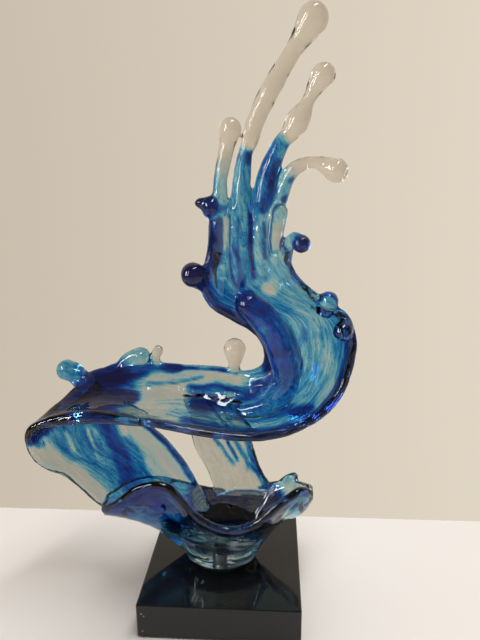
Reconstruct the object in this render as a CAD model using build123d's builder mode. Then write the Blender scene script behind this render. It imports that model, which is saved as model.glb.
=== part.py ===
"""A breaking wave of clear cast glass with blue dye, bolted to a polished stone plinth.

Lengths are in millimetres. The origin is the centre of the felt's underside, +Z is up, +X is to the right
and -Y is the front. Places on the glass are given as x, y and the height above the top of the plinth.
"""

import os
from itertools import pairwise
from math import cos, radians, sin

from build123d import *

# Plinth and felt
PLINTH_SIDE = 150.0
PLINTH_HEIGHT = 34.0
PLINTH_ARRIS = 0.8
FELT_THICKNESS = 1.5
FELT_INSET = 3.0

# Bolt, washers and insert that hold the glass to the plinth
BOLT_DIAMETER = 8.0
BOLT_HOLE_CLEARANCE = 1.0
BOLT_REACH = 14.0
HEAD_DIAMETER = 13.0
HEAD_HEIGHT = 8.0
HEX_ACROSS_FLATS = 6.0
HEX_DEPTH = 4.0
WASHER_DIAMETER = 20.0
STEEL_WASHER_THICKNESS = 1.6
RUBBER_WASHER_THICKNESS = 2.0
RECESS_CLEARANCE = 2.0
INSERT_DIAMETER = 12.0
INSERT_LENGTH = 16.0
INSERT_END_ROOM = 1.0
THREAD_CLEARANCE = 0.1

# Foot of the glass, an oval that stands on a soft pad
FOOT_X = -4.0
FOOT_LENGTH = 72.0
FOOT_DEPTH = 55.0
FOOT_HEIGHT = 34.0
FOOT_FLARE = 18.0
PAD_THICKNESS = 0.8
PAD_INSET = 4.0

# Thickness of the sheets of glass
BOWL_WALL = 9.0
SHEET_WALL = 8.0
STRUT_WALL = 7.0

# Stations of the bowl from left to right: front rim, belly and back rim
BOWL_STATIONS = (
    ((-112, -34, 70), (-114, -24, 63), (-115, -12, 67)),
    ((-96, -42, 82), (-97, -14, 54), (-98, 14, 68)),
    ((-71, -46, 102), (-72, -6, 38), (-73, 30, 66)),
    ((-46, -47, 103), (-46, -2, 22), (-47, 33, 58)),
    ((-20, -47, 73), (-20, 0, 21), (-20, 34, 51)),
    ((6, -47, 61), (6, 0, 20), (4, 34, 51)),
    ((32, -46, 67), (34, 0, 23), (30, 34, 54)),
    ((54, -43, 86), (54, -4, 45), (52, 32, 61)),
    ((72, -36, 96), (73, -10, 58), (71, 22, 69)),
    ((83, -27, 90), (85, -20, 82), (84, -11, 84)),
)

# Stations of the long sheet, from the bowl up through the fold and the curl: front rim, belly and back rim
WALL_STATIONS = (
    ((-104, -22, 62), (-66, 4, 43), (-22, 20, 38)),
    ((-120, -22, 73), (-82, 10, 63), (-33, 26, 62)),
    ((-142, -27, 100), (-104, 10, 93), (-54, 28, 98)),
    ((-165, -32, 116), (-127, 5, 115), (-81, 30, 125)),
    ((-174, -36, 133), (-146, 0, 141), (-112, 31, 152)),
    ((-173, -38, 151), (-155, -4, 164), (-138, 30, 177)),
)
SHELF_STATIONS = (
    WALL_STATIONS[-1],
    ((-155, -41, 162), (-135, -2, 166), (-118, 33, 187)),
    ((-113, -42, 169), (-101, 1, 168), (-91, 34, 194)),
    ((-67, -43, 166), (-60, 0, 164), (-50, 32, 190)),
    ((-10, -43, 156), (-11, 1, 156), (-10, 30, 189)),
    ((38, -42, 153), (31, 1, 153), (20, 26, 186)),
)
CREST_STATIONS = (
    SHELF_STATIONS[-1],
    ((77, -37, 164), (64, 6, 166), (38, 20, 194)),
    ((105, -29, 188), (85, 12, 194), (43, 14, 209)),
    ((116, -24, 226), (86, 13, 228), (40, 6, 226)),
    ((112, -20, 252), (76, 12, 250), (30, -2, 241)),
    ((97, -16, 266), (55, 9, 264), (10, -10, 255)),
    ((80, -13, 274), (36, 5, 270), (-5, -16, 267)),
    ((64, -11, 292), (25, 1, 286), (-11, -18, 285)),
    ((52, -8, 322), (23, 0, 317), (-6, -15, 312)),
    ((46, -6, 344), (24, -1, 341), (-3, -12, 338)),
)

# Roll that thickens the front rim of the shelf at the left: places and radii
SHELF_LIP = (
    ((-164, -40, 158), 3),
    ((-150, -41, 163.5), 6),
    ((-113, -42, 169), 7),
    ((-85, -43, 168), 5.5),
    ((-60, -43, 165), 3),
)

# Stations of the clear strut behind, from the bowl's back rim up to the shelf: left rim, belly and right rim
STRUT_STATIONS = (
    ((-8, 33, 47), (22, 35, 50), (48, 31, 52)),
    ((-16, 32, 75), (10, 36, 76), (34, 30, 77)),
    ((-30, 30, 108), (-2, 35, 109), (24, 29, 110)),
    ((-42, 17, 172), (-13, 18, 168.5), (14, 16.5, 166.5)),
)

# Radii of the rounded ends
TALL_BALL = 12.6
SECOND_BALL = 10.0
BENT_BALL = 10.2
LEFT_BALL = 9.5
LOOP_BALL = 7.0
SPUR_BALL = 4.5
BEAD_LEFT_BALL = 11.0
BEAD_RIGHT_BALL = 7.8
BUMP_BALL = 7.5
CURL_BEAD_BALL = 7.5
ROLL_BALL = 12.0
EAR_BALL = 11.8
HUMP_BALL = 10.0
BUD_BALL = 5.0
DROP_BALL = 11.0
LIP_BALL = 4.5

# Flutes that stiffen the crest and carry the fingers: places and radii, from root to end
LEFT_FLUTE = (((2, -12, 270), 3), ((1, -15, 296), 8), ((1, -17, 322), 8), ((3, -15, 370), 6))
TALL_FLUTE = (((17, -4, 272), 3), ((17, -7, 298), 9), ((17, -8, 330), 10), ((23, -5, 391), 6.5))
SECOND_FLUTE = (
    ((36, 3, 274), 3),
    ((37, -2, 300), 9),
    ((37, -4, 334), 9),
    ((43, -3, 378), 9),
    ((54, -3, 402), 7),
)
BENT_FLUTE = (((47, 0, 280), 3), ((47, -3, 304), 6.5), ((48, -4, 334), 7), ((57, -4, 368), 6))
FLUTES = (LEFT_FLUTE, TALL_FLUTE, SECOND_FLUTE, BENT_FLUTE)

# Fingers, beads and drops: places and radii of the stem from its root, then the ball at its end
TALL_FINGER = (
    TALL_FLUTE[-1],
    ((33, -5, 421), 7.8),
    ((46, -4, 446), 8.2),
    ((56, -3.5, 462), 7.2),
    ((63, -3, 473), 7.2),
    ((69, -2.5, 482), 9),
    ((77.5, -2, 495.5), TALL_BALL),
)
SECOND_FINGER = (
    SECOND_FLUTE[-1],
    ((60, -3, 408.5), 7.8),
    ((67, -3, 419), 10.3),
    ((75, -2, 434), 6),
    ((80, -2, 444), 7.3),
    ((87, -2, 454), SECOND_BALL),
)
BENT_FINGER = (
    BENT_FLUTE[-1],
    ((65, -5, 381), 6.5),
    ((79, -8, 386), 5),
    ((90, -10, 383), 7.2),
    ((99, -12, 379), BENT_BALL),
)
LEFT_FINGER = (LEFT_FLUTE[-1], ((6, -15, 386), 6.3), ((9, -15, 400), 7), ((12, -15, 412.5), LEFT_BALL))
LOOP_STEM = (((49, -9, 304), 3), ((49.5, -13, 322), 5.5), ((53, -14, 346), LOOP_BALL))
SPUR_STEM = (((4, -16, 352), 4), ((-5, -17, 352.5), 9.5), ((-15.5, -18, 354), SPUR_BALL))
BEAD_LEFT_STEM = (((-9, -17, 278), 3), ((-15, -21, 285), 6), ((-20.5, -25, 294), BEAD_LEFT_BALL))
BEAD_RIGHT_STEM = (
    ((59, -11, 294), 3),
    ((59.5, -17, 315), 4.2),
    ((64, -20, 325.5), 4.5),
    ((71, -22, 320), BEAD_RIGHT_BALL),
)
BUMP_STEM = (((95, -15, 265), 1.5), ((95, -16, 268), 3), ((95, -16, 271), BUMP_BALL))
CURL_BEAD_STEM = (((111, -19, 250), 3), ((111, -24, 248), 5), ((111, -28, 246), CURL_BEAD_BALL))
ROLL_STEM = (
    ((42, 15, 202), 3),
    ((58, -6, 206), 13),
    ((50, -8, 233), 13),
    ((38, -10, 254), 13.5),
    ((26, -9, 264), ROLL_BALL),
)
EAR_STEM = (((-142, 24, 174), 2), ((-150, 29, 177), 10), ((-160, 32, 185.5), EAR_BALL))
HUMP_STEM = (((-110, 33.3, 189), 2.5), ((-99, 35, 196), 7.5), ((-85, 35, 200), HUMP_BALL))
BUD_STEM = (((-68, 32, 192), 2.5), ((-68, 33, 201), 3), ((-68, 33, 208), BUD_BALL))
DROP_STEM = (((9, 28, 187), 3), ((10, 29, 198), 7), ((10, 29, 211), DROP_BALL))
LIP_STEM = (((54, 31, 61), 3), ((62, 28, 70), 4.5), ((70, 24, 76), LIP_BALL))

# Facets that the free forms are drawn with
SPAN_STEPS = 3
BOW_STEPS = 6
RIM_ANGLES = (-45, 0, 45)
ROUND_SIDES = 10
FOOT_SIDES = 32
BALL_ANGLES = (-30, 0, 30, 60, 82)

# Heights that follow from the sizes above
PLINTH_TOP = FELT_THICKNESS + PLINTH_HEIGHT
GLASS_BASE = PLINTH_TOP + PAD_THICKNESS
RECESS_DEPTH = RUBBER_WASHER_THICKNESS + STEEL_WASHER_THICKNESS + HEAD_HEIGHT + RECESS_CLEARANCE
STEEL_WASHER_TOP = FELT_THICKNESS + RECESS_DEPTH - RUBBER_WASHER_THICKNESS
HEAD_TOP = STEEL_WASHER_TOP - STEEL_WASHER_THICKNESS
BOLT_END = GLASS_BASE + BOLT_REACH
BOLT_HOLE = BOLT_DIAMETER + BOLT_HOLE_CLEARANCE
FOOT_CENTRE = (FOOT_X, 0)


def raised(place):
    """A place on the glass, measured from the felt's underside."""
    return Vector(*place) + Vector(0, 0, PLINTH_TOP)


def skin(rings):
    """A solid skinned in flat facets over a row of rings that have the same number of corners."""
    faces = [Face(Wire.make_polygon(rings[0])), Face(Wire.make_polygon(rings[-1]))]
    for near, far in pairwise(rings):
        for i in range(len(near)):
            faces.append(Face(Wire.make_polygon((near[i - 1], near[i], far[i]))))
            faces.append(Face(Wire.make_polygon((near[i - 1], far[i], far[i - 1]))))
    return Solid(Shell(faces))


def smoothed(places):
    """A smooth row of places through the ones given, with more of them in each span."""
    padded = [places[0] * 2 - places[1], *places, places[-1] * 2 - places[-2]]
    row = []
    for before, near, far, after in zip(padded, padded[1:], padded[2:], padded[3:]):
        for step in range(SPAN_STEPS):
            t = step / SPAN_STEPS
            straight = near * 2 + (far - before) * t
            bend = (before * 2 - near * 5 + far * 4 - after) * t**2
            swing = (near * 3 - before - far * 3 + after) * t**3
            row.append((straight + bend + swing) / 2)
    return row + [places[-1]]


def runs(places):
    """The way that a row of places runs at each of them."""
    last = len(places) - 1
    return [places[min(i + 1, last)] - places[max(i - 1, 0)] for i in range(last + 1)]


def bow(front, belly, back, run):
    """Places from rim to rim across a sheet, each with the way on and the way out of the sheet's face."""
    square = (back - front).cross(belly - front).normalized()
    if square.dot(run) < 0:
        square = -square
    peak = belly * 2 - (front + back) / 2
    places = []
    for step in range(BOW_STEPS + 1):
        t = step / BOW_STEPS
        place = front * (1 - t) ** 2 + peak * (2 * t * (1 - t)) + back * t**2
        way = ((peak - front) * (1 - t) + (back - peak) * t).normalized()
        places.append((place, way, square.cross(way)))
    return places


def bows(stations):
    """The bows of a sheet, close together along its run."""
    rows = [smoothed([raised(station[i]) for station in stations]) for i in range(3)]
    return [bow(*places, run) for *places, run in zip(*rows, runs(rows[1]))]


def across(places, wall):
    """The ring round a sheet at one of its bows, with rounded rims."""
    start, setting_out, start_side = places[0]
    end, coming_in, end_side = places[-1]
    left = [place + side * (wall / 2) for place, way, side in places]
    right = [place - side * (wall / 2) for place, way, side in reversed(places)]
    turns = [(cos(radians(angle)) * wall / 2, sin(radians(angle)) * wall / 2) for angle in RIM_ANGLES]
    end_rim = [end + coming_in * out - end_side * over for out, over in turns]
    start_rim = [start - setting_out * out + start_side * over for out, over in turns]
    return left + end_rim + right + start_rim


def sheet(places, wall):
    """A sheet of even thickness over a row of bows."""
    return skin([across(bow_places, wall) for bow_places in places])


def ring(centre, run, radius):
    """The corners of a round section of a stem, square to its run."""
    x_way = run.cross(Vector(0, 1, 0)).normalized()
    y_way = run.cross(x_way).normalized()
    turns = [radians(360 * i / ROUND_SIDES) for i in range(ROUND_SIDES)]
    return [centre + (x_way * cos(turn) + y_way * sin(turn)) * radius for turn in turns]


def stem_rings(stem):
    """The rings of a stem, from its root to its end."""
    centres = smoothed([raised(place) for place, radius in stem])
    radii = smoothed([radius for place, radius in stem])
    return [ring(*section) for section in zip(centres, runs(centres), radii)]


def ball_rings(stem):
    """The rings of the ball that ends a stem."""
    centre = raised(stem[-1][0])
    radius = stem[-1][1]
    way = (centre - raised(stem[-2][0])).normalized()
    angles = [radians(angle) for angle in BALL_ANGLES]
    return [ring(centre + way * (radius * sin(angle)), way, radius * cos(angle)) for angle in angles]


def drop(stem, *carriers):
    """A round stem with a ball at its end, trimmed to the glass that carries it."""
    with BuildPart() as piece:
        add(skin(stem_rings(stem)[:-SPAN_STEPS] + ball_rings(stem)))
        for carrier in carriers:
            add(carrier.part, mode=Mode.SUBTRACT)
    return piece


def oval(length, depth, height):
    """The corners of an oval round the foot."""
    turns = [radians(360 * i / FOOT_SIDES) for i in range(FOOT_SIDES)]
    return [Vector(FOOT_X + cos(turn) * length / 2, sin(turn) * depth / 2, height) for turn in turns]


# Plinth, with a stepped hole for the bolt from below
with BuildPart() as plinth:
    with Locations((0, 0, FELT_THICKNESS)):
        Box(PLINTH_SIDE, PLINTH_SIDE, PLINTH_HEIGHT, align=(Align.CENTER, Align.CENTER, Align.MIN))
    chamfer(plinth.edges(), PLINTH_ARRIS)
    with Locations(Plane(origin=(FOOT_X, 0, FELT_THICKNESS), z_dir=(0, 0, -1))):
        CounterBoreHole(BOLT_HOLE / 2, (WASHER_DIAMETER + RECESS_CLEARANCE) / 2, RECESS_DEPTH)

# Felt sheet that covers the recess
with BuildPart() as felt_underlay:
    with BuildSketch():
        Rectangle(PLINTH_SIDE - 2 * FELT_INSET, PLINTH_SIDE - 2 * FELT_INSET)
    extrude(amount=FELT_THICKNESS)

# Rubber washer against the stone
with BuildPart() as rubber_washer:
    with BuildSketch(Plane.XY.offset(STEEL_WASHER_TOP)):
        with Locations(FOOT_CENTRE):
            Circle(WASHER_DIAMETER / 2)
            Circle(BOLT_HOLE / 2, mode=Mode.SUBTRACT)
    extrude(amount=RUBBER_WASHER_THICKNESS)

# Steel washer against the head
with BuildPart() as steel_washer:
    with BuildSketch(Plane.XY.offset(HEAD_TOP)):
        with Locations(FOOT_CENTRE):
            Circle(WASHER_DIAMETER / 2)
            Circle(BOLT_HOLE / 2, mode=Mode.SUBTRACT)
    extrude(amount=STEEL_WASHER_THICKNESS)

# Socket bolt, up through the stone into the glass
with BuildPart() as fixing_bolt:
    with BuildSketch(Plane.XY.offset(HEAD_TOP - HEAD_HEIGHT)):
        with Locations(FOOT_CENTRE):
            Circle(HEAD_DIAMETER / 2)
    extrude(amount=HEAD_HEIGHT)
    with BuildSketch(Plane.XY.offset(HEAD_TOP)):
        with Locations(FOOT_CENTRE):
            Circle(BOLT_DIAMETER / 2)
    extrude(amount=BOLT_END - HEAD_TOP)
    with BuildSketch(Plane.XY.offset(HEAD_TOP - HEAD_HEIGHT)):
        with Locations(FOOT_CENTRE):
            RegularPolygon(HEX_ACROSS_FLATS / 2, 6, major_radius=False)
    extrude(amount=HEX_DEPTH, mode=Mode.SUBTRACT)

# Steel insert, cast into the foot
with BuildPart() as threaded_insert:
    with BuildSketch(Plane.XY.offset(GLASS_BASE)):
        with Locations(FOOT_CENTRE):
            Circle(INSERT_DIAMETER / 2)
            Circle(BOLT_DIAMETER / 2 + THREAD_CLEARANCE, mode=Mode.SUBTRACT)
    extrude(amount=INSERT_LENGTH)

# Soft pad between the glass and the stone
with BuildPart() as bedding_pad:
    with BuildSketch(Plane.XY.offset(PLINTH_TOP)):
        with Locations(FOOT_CENTRE):
            Ellipse(FOOT_LENGTH / 2 - PAD_INSET, FOOT_DEPTH / 2 - PAD_INSET)
            Circle(BOLT_HOLE / 2, mode=Mode.SUBTRACT)
    extrude(amount=PAD_THICKNESS)

# Foot and bowl, one casting with a wavy rim and a hole for the insert
bowl_bows = bows(BOWL_STATIONS)
with BuildPart() as foot_bowl:
    sole = oval(FOOT_LENGTH, FOOT_DEPTH, GLASS_BASE)
    instep = oval(FOOT_LENGTH + 2 * FOOT_FLARE, FOOT_DEPTH + FOOT_FLARE, GLASS_BASE + FOOT_HEIGHT)
    add(skin([sole, instep]))
    add(skin([[place for place, way, side in places] for places in bowl_bows]), mode=Mode.SUBTRACT)
    add(sheet(bowl_bows, BOWL_WALL))
    with BuildSketch(Plane.XY.offset(GLASS_BASE)):
        with Locations(FOOT_CENTRE):
            Circle(INSERT_DIAMETER / 2)
    extrude(amount=INSERT_LENGTH + INSERT_END_ROOM, mode=Mode.SUBTRACT)

# The long sheet is one run of bows, cut where the wall, the shelf and the crest meet
long_bows = bows(WALL_STATIONS + SHELF_STATIONS[1:] + CREST_STATIONS[1:])
fold = (len(WALL_STATIONS) - 1) * SPAN_STEPS
curl = fold + (len(SHELF_STATIONS) - 1) * SPAN_STEPS

# Leaning wall, from the floor of the bowl to the fold
with BuildPart() as riser_wall:
    add(sheet(long_bows[: fold + 1], SHEET_WALL))
    add(foot_bowl.part, mode=Mode.SUBTRACT)

# Shelf, from the fold to the foot of the curl, with a rolled front lip
with BuildPart() as wave_shelf:
    add(sheet(long_bows[fold : curl + 1], SHEET_WALL))
    add(skin(stem_rings(SHELF_LIP)))

# Curl and crest, with the flutes that run up to the fingers
with BuildPart() as wave_crest:
    add(sheet(long_bows[curl:], SHEET_WALL))
    for flute in FLUTES:
        add(skin(stem_rings(flute)))

# Clear strut behind, between the bowl and the shelf
with BuildPart() as rear_strut:
    add(sheet(bows(STRUT_STATIONS), STRUT_WALL))
    add(foot_bowl.part, mode=Mode.SUBTRACT)
    add(wave_shelf.part, mode=Mode.SUBTRACT)

# Fingers, beads and drops
finger_tall = drop(TALL_FINGER, wave_crest)
finger_second = drop(SECOND_FINGER, wave_crest)
finger_bent = drop(BENT_FINGER, wave_crest)
finger_left = drop(LEFT_FINGER, wave_crest)
crest_loop = drop(LOOP_STEM, wave_crest)
crest_spur = drop(SPUR_STEM, wave_crest)
bead_left = drop(BEAD_LEFT_STEM, wave_crest)
bead_right = drop(BEAD_RIGHT_STEM, wave_crest)
curl_bump = drop(BUMP_STEM, wave_crest)
curl_bead = drop(CURL_BEAD_STEM, wave_crest)
inner_roll = drop(ROLL_STEM, wave_crest)
shelf_ear = drop(EAR_STEM, wave_shelf, riser_wall)
shelf_hump = drop(HUMP_STEM, wave_shelf)
shelf_bud = drop(BUD_STEM, wave_shelf)
shelf_drop = drop(DROP_STEM, wave_shelf)
lip_curl = drop(LIP_STEM, foot_bowl)

PIECES = {
    "plinth": plinth,
    "felt_underlay": felt_underlay,
    "rubber_washer": rubber_washer,
    "steel_washer": steel_washer,
    "fixing_bolt": fixing_bolt,
    "threaded_insert": threaded_insert,
    "bedding_pad": bedding_pad,
    "foot_bowl": foot_bowl,
    "riser_wall": riser_wall,
    "wave_shelf": wave_shelf,
    "wave_crest": wave_crest,
    "rear_strut": rear_strut,
    "finger_tall": finger_tall,
    "finger_second": finger_second,
    "finger_bent": finger_bent,
    "finger_left": finger_left,
    "crest_loop": crest_loop,
    "crest_spur": crest_spur,
    "bead_left": bead_left,
    "bead_right": bead_right,
    "curl_bump": curl_bump,
    "curl_bead": curl_bead,
    "inner_roll": inner_roll,
    "shelf_ear": shelf_ear,
    "shelf_hump": shelf_hump,
    "shelf_bud": shelf_bud,
    "shelf_drop": shelf_drop,
    "lip_curl": lip_curl,
}

os.makedirs("parts", exist_ok=True)
for name, piece in PIECES.items():
    piece.part.label = name
    export_step(piece.part, f"parts/{name}.step")
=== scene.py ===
"""A breaking wave of clear cast glass with blue dye poured through it, on a polished black plinth.

Lengths are in metres, in the frame of the solids: +Z is up, +X is to the right and -Y is the front.
"""

from math import radians

import bpy
import numpy as np
from mathutils import Matrix, Vector, kdtree, noise


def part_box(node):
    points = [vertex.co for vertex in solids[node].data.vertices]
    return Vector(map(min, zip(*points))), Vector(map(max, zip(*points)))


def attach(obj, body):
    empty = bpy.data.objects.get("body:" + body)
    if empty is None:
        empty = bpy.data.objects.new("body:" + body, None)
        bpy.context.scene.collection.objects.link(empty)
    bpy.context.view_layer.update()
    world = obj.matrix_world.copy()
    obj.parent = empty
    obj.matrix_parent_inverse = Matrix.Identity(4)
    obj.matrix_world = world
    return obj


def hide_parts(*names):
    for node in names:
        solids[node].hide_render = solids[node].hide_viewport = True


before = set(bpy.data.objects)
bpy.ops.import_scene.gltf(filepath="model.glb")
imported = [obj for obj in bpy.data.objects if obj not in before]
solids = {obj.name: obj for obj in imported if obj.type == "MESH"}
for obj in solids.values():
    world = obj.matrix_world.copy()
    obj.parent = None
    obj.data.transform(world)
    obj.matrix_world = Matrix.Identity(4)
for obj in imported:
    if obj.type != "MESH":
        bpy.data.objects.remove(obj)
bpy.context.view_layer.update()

# Felt underlay and rubber washer
# A sheet of black felt is glued under the stone to spare the table, and a black rubber washer keeps the
# steel off the stone.
felt = bpy.data.materials.new("black_felt")
felt.use_nodes = True
nodes, links = felt.node_tree.nodes, felt.node_tree.links
shader = nodes["Principled BSDF"]
fibres = nodes.new("ShaderNodeTexNoise")
fibres.inputs["Scale"].default_value = 1800
fibres.inputs["Detail"].default_value = 6
place = nodes.new("ShaderNodeTexCoord")
links.new(place.outputs["Object"], fibres.inputs["Vector"])
shade = nodes.new("ShaderNodeValToRGB")
shade.color_ramp.elements[0].color = (0.006, 0.006, 0.007, 1)
shade.color_ramp.elements[1].color = (0.05, 0.05, 0.052, 1)
links.new(fibres.outputs["Fac"], shade.inputs["Fac"])
links.new(shade.outputs["Color"], shader.inputs["Base Color"])
nap = nodes.new("ShaderNodeBump")
nap.inputs["Strength"].default_value = 0.6
nap.inputs["Distance"].default_value = 0.0004
links.new(fibres.outputs["Fac"], nap.inputs["Height"])
links.new(nap.outputs["Normal"], shader.inputs["Normal"])
shader.inputs["Roughness"].default_value = 0.95
shader.inputs["Sheen Weight"].default_value = 0.3


def dress(material, *names):
    """Gives the solids of these names one material."""
    for name in names:
        solids[name].data.materials.clear()
        solids[name].data.materials.append(material)


dress(felt, "felt_underlay", "rubber_washer")

# Plinth
# A square block of black stone, sawn, polished to a mirror and broken along its arrises. A few pale chips
# show at the left end of the front, each given by its place and its size.
CHIPS = (
    (-0.0704, -0.075, 0.0263, 0.0011),
    (-0.0682, -0.075, 0.0236, 0.0009),
    (-0.07, -0.075, 0.0075, 0.001),
)
stone = bpy.data.materials.new("polished_black_stone")
stone.use_nodes = True
nodes, links = stone.node_tree.nodes, stone.node_tree.links
shader = nodes["Principled BSDF"]
place = nodes.new("ShaderNodeTexCoord")
crystals = nodes.new("ShaderNodeTexVoronoi")
crystals.inputs["Scale"].default_value = 900
links.new(place.outputs["Object"], crystals.inputs["Vector"])
clouds = nodes.new("ShaderNodeTexNoise")
clouds.inputs["Scale"].default_value = 55
clouds.inputs["Detail"].default_value = 5
links.new(place.outputs["Object"], clouds.inputs["Vector"])
grain = nodes.new("ShaderNodeValToRGB")
grain.color_ramp.elements[0].position = 0.02
grain.color_ramp.elements[0].color = (0.016, 0.016, 0.017, 1)
grain.color_ramp.elements[1].position = 0.35
grain.color_ramp.elements[1].color = (0.006, 0.006, 0.0065, 1)
links.new(crystals.outputs["Distance"], grain.inputs["Fac"])
colour = grain.outputs["Color"]
for x, y, z, size in CHIPS:
    away = nodes.new("ShaderNodeVectorMath")
    away.operation = "DISTANCE"
    away.inputs[1].default_value = (x, y, z)
    links.new(place.outputs["Object"], away.inputs[0])
    chip = nodes.new("ShaderNodeMapRange")
    chip.inputs["From Min"].default_value = size
    chip.inputs["From Max"].default_value = size * 0.6
    links.new(away.outputs["Value"], chip.inputs["Value"])
    broken = nodes.new("ShaderNodeMix")
    broken.data_type = "RGBA"
    broken.inputs["B"].default_value = (0.3, 0.29, 0.28, 1)
    links.new(chip.outputs["Result"], broken.inputs["Factor"])
    links.new(colour, broken.inputs["A"])
    colour = broken.outputs["Result"]
links.new(colour, shader.inputs["Base Color"])
haze = nodes.new("ShaderNodeMapRange")
haze.inputs["To Min"].default_value = 0.04
haze.inputs["To Max"].default_value = 0.12
links.new(clouds.outputs["Fac"], haze.inputs["Value"])
links.new(haze.outputs["Result"], shader.inputs["Roughness"])
shader.inputs["IOR"].default_value = 1.5
dress(stone, "plinth")

# Bolt, washer and insert
# A zinc-plated socket bolt and its washer pull on a steel insert that is cast into the foot of the glass.
zinc = bpy.data.materials.new("zinc_plated_steel")
zinc.use_nodes = True
nodes, links = zinc.node_tree.nodes, zinc.node_tree.links
shader = nodes["Principled BSDF"]
place = nodes.new("ShaderNodeTexCoord")
tool_marks = nodes.new("ShaderNodeTexNoise")
tool_marks.inputs["Scale"].default_value = 700
links.new(place.outputs["Object"], tool_marks.inputs["Vector"])
dulling = nodes.new("ShaderNodeMapRange")
dulling.inputs["To Min"].default_value = 0.25
dulling.inputs["To Max"].default_value = 0.5
links.new(tool_marks.outputs["Fac"], dulling.inputs["Value"])
links.new(dulling.outputs["Result"], shader.inputs["Roughness"])
shader.inputs["Base Color"].default_value = (0.22, 0.22, 0.23, 1)
shader.inputs["Metallic"].default_value = 1
dress(zinc, "fixing_bolt", "steel_washer", "threaded_insert")

# Bedding pad
# A thin grey pad of soft rubber under the foot, with pale patches at random that show through the foot.
pad = bpy.data.materials.new("grey_pad")
pad.use_nodes = True
nodes, links = pad.node_tree.nodes, pad.node_tree.links
shader = nodes["Principled BSDF"]
place = nodes.new("ShaderNodeTexCoord")
patches = nodes.new("ShaderNodeTexNoise")
patches.inputs["Scale"].default_value = 70
patches.inputs["Detail"].default_value = 4
links.new(place.outputs["Object"], patches.inputs["Vector"])
shade = nodes.new("ShaderNodeValToRGB")
shade.color_ramp.elements[0].position = 0.32
shade.color_ramp.elements[0].color = (0.07, 0.072, 0.075, 1)
shade.color_ramp.elements[1].position = 0.6
shade.color_ramp.elements[1].color = (0.75, 0.74, 0.7, 1)
links.new(patches.outputs["Fac"], shade.inputs["Fac"])
links.new(shade.outputs["Color"], shader.inputs["Base Color"])
shader.inputs["Roughness"].default_value = 0.7
dress(pad, "bedding_pad")

# Foot and bowl
# A cast oval foot that flares into a shallow bowl with a wavy rolled rim. The bowl's stations run from left
# to right, each with its front rim, belly and back rim: x, y and the height above the plinth in millimetres.
PLINTH_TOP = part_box("plinth")[1].z
MM = 0.001
SPAN_STEPS = 12
BOW_STEPS = 30
RIM_STEP = 3
RIM_SWELL = 0.3
BOWL_WALL = 7.5
BOWL_STATIONS = (
    ((-112, -34, 70), (-114, -24, 63), (-115, -12, 67)),
    ((-96, -42, 82), (-97, -14, 54), (-98, 14, 68)),
    ((-71, -46, 102), (-72, -6, 38), (-73, 30, 66)),
    ((-46, -47, 103), (-46, -2, 22), (-47, 33, 58)),
    ((-20, -47, 73), (-20, 0, 21), (-20, 34, 51)),
    ((6, -47, 61), (6, 0, 20), (4, 34, 51)),
    ((32, -46, 67), (34, 0, 23), (30, 34, 54)),
    ((54, -43, 86), (54, -4, 45), (52, 32, 61)),
    ((72, -36, 96), (73, -10, 58), (71, 22, 69)),
    ((83, -27, 90), (85, -20, 82), (84, -11, 84)),
)
castings = []


def raised(spot):
    """A place on the glass, in metres in the frame of the solids."""
    return np.array(spot, float) * MM + (0, 0, PLINTH_TOP)


def smoothed(places):
    """A smooth row of places through the ones given."""
    places = np.asarray(places, float)
    padded = [2 * places[0] - places[1], *places, 2 * places[-1] - places[-2]]
    row = []
    for before, near, far, after in zip(padded, padded[1:], padded[2:], padded[3:]):
        for t in np.arange(SPAN_STEPS) / SPAN_STEPS:
            bend = (2 * before - 5 * near + 4 * far - after) * t**2
            swing = (3 * near - before - 3 * far + after) * t**3
            row.append((2 * near + (far - before) * t + bend + swing) / 2)
    return np.array([*row, places[-1]])


def bowed(stations):
    """Places all over a bowed sheet, by its run and then across it from the front rim to the back rim."""
    front, belly, back = (smoothed([raised(station[i]) for station in stations]) for i in range(3))
    peak = 2 * belly - (front + back) / 2
    t = np.linspace(0, 1, BOW_STEPS + 1)[None, :, None]
    return front[:, None] * (1 - t) ** 2 + peak[:, None] * 2 * t * (1 - t) + back[:, None] * t**2


def finish_modifier(kind, **settings):
    """Adds a modifier to the active piece and applies it."""
    bpy.ops.object.modifier_add(type=kind)
    modifier = bpy.context.object.modifiers[-1]
    for setting, value in settings.items():
        setattr(modifier, setting, value)
    bpy.ops.object.modifier_apply(modifier=modifier.name)


def cast_tube(spots, radii):
    """A round rod of glass through a row of places in metres, with radii in millimetres."""
    bpy.ops.object.select_all(action="DESELECT")
    bpy.ops.curve.primitive_bezier_curve_add(location=(0, 0, 0))
    curve = bpy.context.object.data
    curve.dimensions = "3D"
    curve.bevel_depth = MM
    curve.bevel_resolution = 5
    curve.resolution_u = 8
    curve.use_fill_caps = True
    line = curve.splines[0]
    line.radius_interpolation = "CARDINAL"
    line.bezier_points.add(len(spots) - len(line.bezier_points))
    for knot, spot, radius in zip(line.bezier_points, spots, radii):
        knot.co = Vector(spot)
        knot.radius = radius
        knot.handle_left_type = knot.handle_right_type = "AUTO"
    bpy.ops.object.convert(target="MESH")
    castings.append(bpy.context.object)


def cast_sheet(places, wall):
    """A sheet of even thickness with rolled rims."""
    bpy.ops.object.select_all(action="DESELECT")
    rows, columns = places.shape[:2]
    bpy.ops.mesh.primitive_grid_add(x_subdivisions=rows - 1, y_subdivisions=columns - 1, location=(0, 0, 0))
    piece = bpy.context.object
    piece.data.vertices.foreach_set("co", places.transpose(1, 0, 2).ravel())
    finish_modifier("SOLIDIFY", thickness=wall * MM, offset=0)
    castings.append(piece)
    for rim in (places[::RIM_STEP, 0], places[::RIM_STEP, -1]):
        cast_tube(rim, [wall / 2 + RIM_SWELL] * len(rim))


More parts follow.
